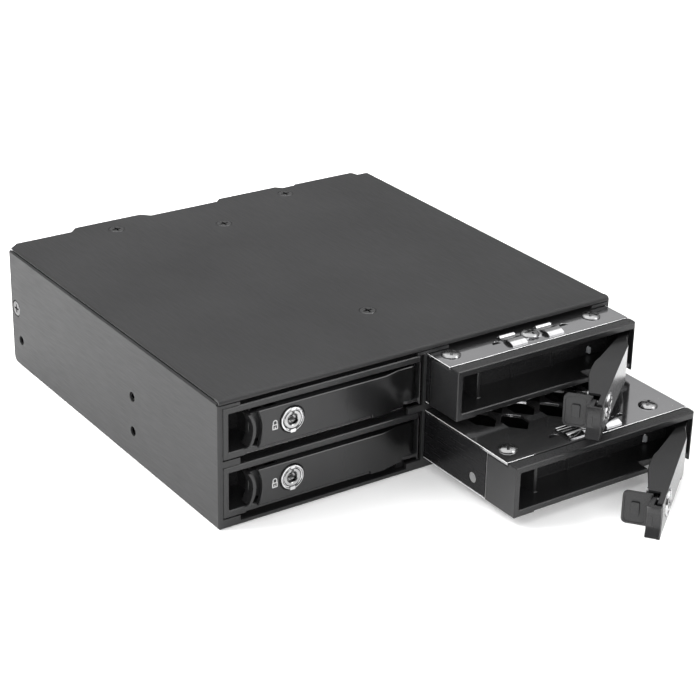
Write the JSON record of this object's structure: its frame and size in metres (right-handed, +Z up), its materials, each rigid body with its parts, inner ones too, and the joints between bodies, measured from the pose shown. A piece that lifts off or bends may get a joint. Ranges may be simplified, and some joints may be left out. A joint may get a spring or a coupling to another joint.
{
  "type": "drive bay mobile rack",
  "caption": "Drive-bay rack with slide-out drive trays, hinged lever doors, finger latches and key locks.",
  "frame": {"origin": "centre of the case's flat bottom face, not counting the trays and levers in front of it", "axes": "+X to the right seen from the front, +Y from the front to the back of the case, +Z up"},
  "size_m": [0.146, 0.2226, 0.042],
  "materials": {
    "coated_steel": "black satin powder coat",
    "plated_steel": "zinc plated",
    "polished_steel": "bright, mirror-like",
    "black_plastic": "satin moulded",
    "chrome": "bright plated",
    "circuit_board": "solder mask",
    "black_nylon": "matt moulded",
    "light_pipe": "clear, frosted"
  },
  "bodies": {
    "case": {"chassis": "coated_steel", "top_cover": "coated_steel", "centre_divider": "plated_steel", "bay_shelf": "plated_steel", "backplane_board": "circuit_board", "rear_panel": "coated_steel", "lower_left_drive_socket": "black_nylon", "lower_right_drive_socket": "black_nylon", "upper_left_drive_socket": "black_nylon", "upper_right_drive_socket": "black_nylon", "data_port_1": "black_nylon", "data_port_2": "black_nylon", "data_port_3": "black_nylon", "data_port_4": "black_nylon", "left_power_port": "black_nylon", "right_power_port": "black_nylon", "fan_frame": "black_nylon", "cover_screw_1": "chrome", "cover_screw_2": "chrome", "cover_screw_3": "chrome", "cover_screw_4": "chrome", "left_side_screw": "chrome", "right_side_screw": "chrome"},
    "fan_rotor": {"fan_rotor": "black_nylon"},
    "upper_left_tray": {"upper_left_tray_shell": "polished_steel", "upper_left_bezel": "black_plastic", "upper_left_light_pipe": "light_pipe", "upper_left_spring_clip": "chrome", "upper_left_hinge_pin": "chrome"},
    "upper_left_lever": {"upper_left_lever": "black_plastic", "upper_left_lock_barrel": "chrome"},
    "upper_left_latch": {"upper_left_latch": "black_plastic"},
    "upper_left_lock": {"upper_left_lock_core": "chrome"},
    "upper_right_tray": {"upper_right_tray_shell": "polished_steel", "upper_right_bezel": "black_plastic", "upper_right_light_pipe": "light_pipe", "upper_right_spring_clip": "chrome", "upper_right_hinge_pin": "chrome"},
    "upper_right_lever": {"upper_right_lever": "black_plastic", "upper_right_lock_barrel": "chrome"},
    "upper_right_latch": {"upper_right_latch": "black_plastic"},
    "upper_right_lock": {"upper_right_lock_core": "chrome"},
    "lower_left_tray": {"lower_left_tray_shell": "polished_steel", "lower_left_bezel": "black_plastic", "lower_left_light_pipe": "light_pipe", "lower_left_spring_clip": "chrome", "lower_left_hinge_pin": "chrome"},
    "lower_left_lever": {"lower_left_lever": "black_plastic", "lower_left_lock_barrel": "chrome"},
    "lower_left_latch": {"lower_left_latch": "black_plastic"},
    "lower_left_lock": {"lower_left_lock_core": "chrome"},
    "lower_right_tray": {"lower_right_tray_shell": "polished_steel", "lower_right_bezel": "black_plastic", "lower_right_light_pipe": "light_pipe", "lower_right_spring_clip": "chrome", "lower_right_hinge_pin": "chrome"},
    "lower_right_lever": {"lower_right_lever": "black_plastic", "lower_right_lock_barrel": "chrome"},
    "lower_right_latch": {"lower_right_latch": "black_plastic"},
    "lower_right_lock": {"lower_right_lock_core": "chrome"}
  },
  "joints": [
    {"name": "fan_spin", "type": "hinge", "parent": "case", "child": "fan_rotor", "pos_m": [0, 0.0618, 0.021], "axis": [0, 1, 0], "continuous": true},
    {"name": "upper_left_tray_slide", "type": "slide", "parent": "case", "child": "upper_left_tray", "axis": [0, -1, 0], "range_m": [0, 0.1]},
    {"name": "upper_left_lever_hinge", "type": "hinge", "parent": "upper_left_tray", "child": "upper_left_lever", "pos_m": [-0.0053, -0.0658, 0.0305], "axis": [0, 0, 1], "range_deg": [0, 86]},
    {"name": "upper_left_latch_slide", "type": "slide", "parent": "upper_left_lever", "child": "upper_left_latch", "axis": [1, 0, 0], "range_m": [0, 0.0019], "stiffness_N_per_m": 400},
    {"name": "upper_left_lock_turn", "type": "hinge", "parent": "upper_left_lever", "child": "upper_left_lock", "pos_m": [-0.0488, -0.0658, 0.0308], "axis": [0, 1, 0], "range_deg": [0, 90]},
    {"name": "upper_right_tray_slide", "type": "slide", "parent": "case", "child": "upper_right_tray", "axis": [0, -1, 0], "range_m": [-0.0155, 0.0845]},
    {"name": "upper_right_lever_hinge", "type": "hinge", "parent": "upper_right_tray", "child": "upper_right_lever", "pos_m": [0.0667, -0.0813, 0.0305], "axis": [0, 0, 1], "range_deg": [-39, 47]},
    {"name": "upper_right_latch_slide", "type": "slide", "parent": "upper_right_lever", "child": "upper_right_latch", "axis": [0.7771, 0.6293, 0], "range_m": [-0.0019, 0], "stiffness_N_per_m": 400},
    {"name": "upper_right_lock_turn", "type": "hinge", "parent": "upper_right_lever", "child": "upper_right_lock", "pos_m": [0.03289, -0.10867, 0.0308], "axis": [-0.6293, 0.7771, 0], "range_deg": [0, 90]},
    {"name": "lower_left_tray_slide", "type": "slide", "parent": "case", "child": "lower_left_tray", "axis": [0, -1, 0], "range_m": [0, 0.1]},
    {"name": "lower_left_lever_hinge", "type": "hinge", "parent": "lower_left_tray", "child": "lower_left_lever", "pos_m": [-0.0053, -0.0658, 0.0114], "axis": [0, 0, 1], "range_deg": [0, 86]},
    {"name": "lower_left_latch_slide", "type": "slide", "parent": "lower_left_lever", "child": "lower_left_latch", "axis": [1, 0, 0], "range_m": [0, 0.0019], "stiffness_N_per_m": 400},
    {"name": "lower_left_lock_turn", "type": "hinge", "parent": "lower_left_lever", "child": "lower_left_lock", "pos_m": [-0.0488, -0.0658, 0.0117], "axis": [0, 1, 0], "range_deg": [0, 90]},
    {"name": "lower_right_tray_slide", "type": "slide", "parent": "case", "child": "lower_right_tray", "axis": [0, -1, 0], "range_m": [-0.0448, 0.0552]},
    {"name": "lower_right_lever_hinge", "type": "hinge", "parent": "lower_right_tray", "child": "lower_right_lever", "pos_m": [0.0667, -0.1106, 0.0114], "axis": [0, 0, 1], "range_deg": [-38.4, 47.6]},
    {"name": "lower_right_latch_slide", "type": "slide", "parent": "lower_right_lever", "child": "lower_right_latch", "axis": [0.7837, 0.6211, 0], "range_m": [-0.0019, 0], "stiffness_N_per_m": 400},
    {"name": "lower_right_lock_turn", "type": "hinge", "parent": "lower_right_lever", "child": "lower_right_lock", "pos_m": [0.03261, -0.13762, 0.0117], "axis": [-0.6211, 0.7837, 0], "range_deg": [0, 90]}
  ]
}
